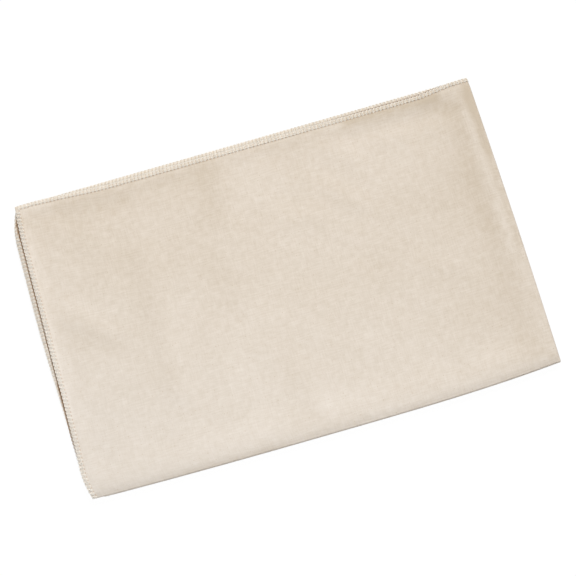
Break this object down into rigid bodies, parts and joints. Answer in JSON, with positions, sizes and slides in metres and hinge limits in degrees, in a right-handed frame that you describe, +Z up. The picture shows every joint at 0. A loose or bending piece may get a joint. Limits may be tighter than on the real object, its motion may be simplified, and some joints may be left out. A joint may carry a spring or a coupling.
{
  "type": "bread basket liner",
  "caption": "Oblong cotton cloth liner with overlocked edges, folded in quarters, whose upper leaf opens like a book cover",
  "frame": {"origin": "middle of the folded cloth's underside, on the table", "axes": "+X along the folded long side, towards the second fold; +Y across, towards the open overlocked edges; +Z up through the plies"},
  "size_m": [0.4081, 0.2582, 0.0075],
  "materials": {
    "cotton_cloth": "matte",
    "overlock_thread": "matte"
  },
  "bodies": {
    "lower_leaf": {"lower_leaf_cloth": "cotton_cloth", "bottom_ply_needle_thread": "overlock_thread", "bottom_ply_upper_looper_thread": "overlock_thread", "bottom_ply_lower_looper_thread": "overlock_thread", "second_ply_needle_thread": "overlock_thread", "second_ply_upper_looper_thread": "overlock_thread", "second_ply_lower_looper_thread": "overlock_thread", "lower_leaf_end_needle_thread": "overlock_thread", "lower_leaf_end_upper_looper_thread": "overlock_thread", "lower_leaf_end_lower_looper_thread": "overlock_thread"},
    "upper_leaf": {"upper_leaf_cloth": "cotton_cloth", "third_ply_needle_thread": "overlock_thread", "third_ply_upper_looper_thread": "overlock_thread", "third_ply_lower_looper_thread": "overlock_thread", "top_ply_needle_thread": "overlock_thread", "top_ply_upper_looper_thread": "overlock_thread", "top_ply_lower_looper_thread": "overlock_thread", "upper_leaf_end_needle_thread": "overlock_thread", "upper_leaf_end_upper_looper_thread": "overlock_thread", "upper_leaf_end_lower_looper_thread": "overlock_thread"}
  },
  "joints": [
    {"name": "book_fold", "type": "hinge", "parent": "lower_leaf", "child": "upper_leaf", "pos_m": [0.20421, 0, 0.00375], "axis": [0, 1, 0], "range_deg": [0, 180]}
  ]
}
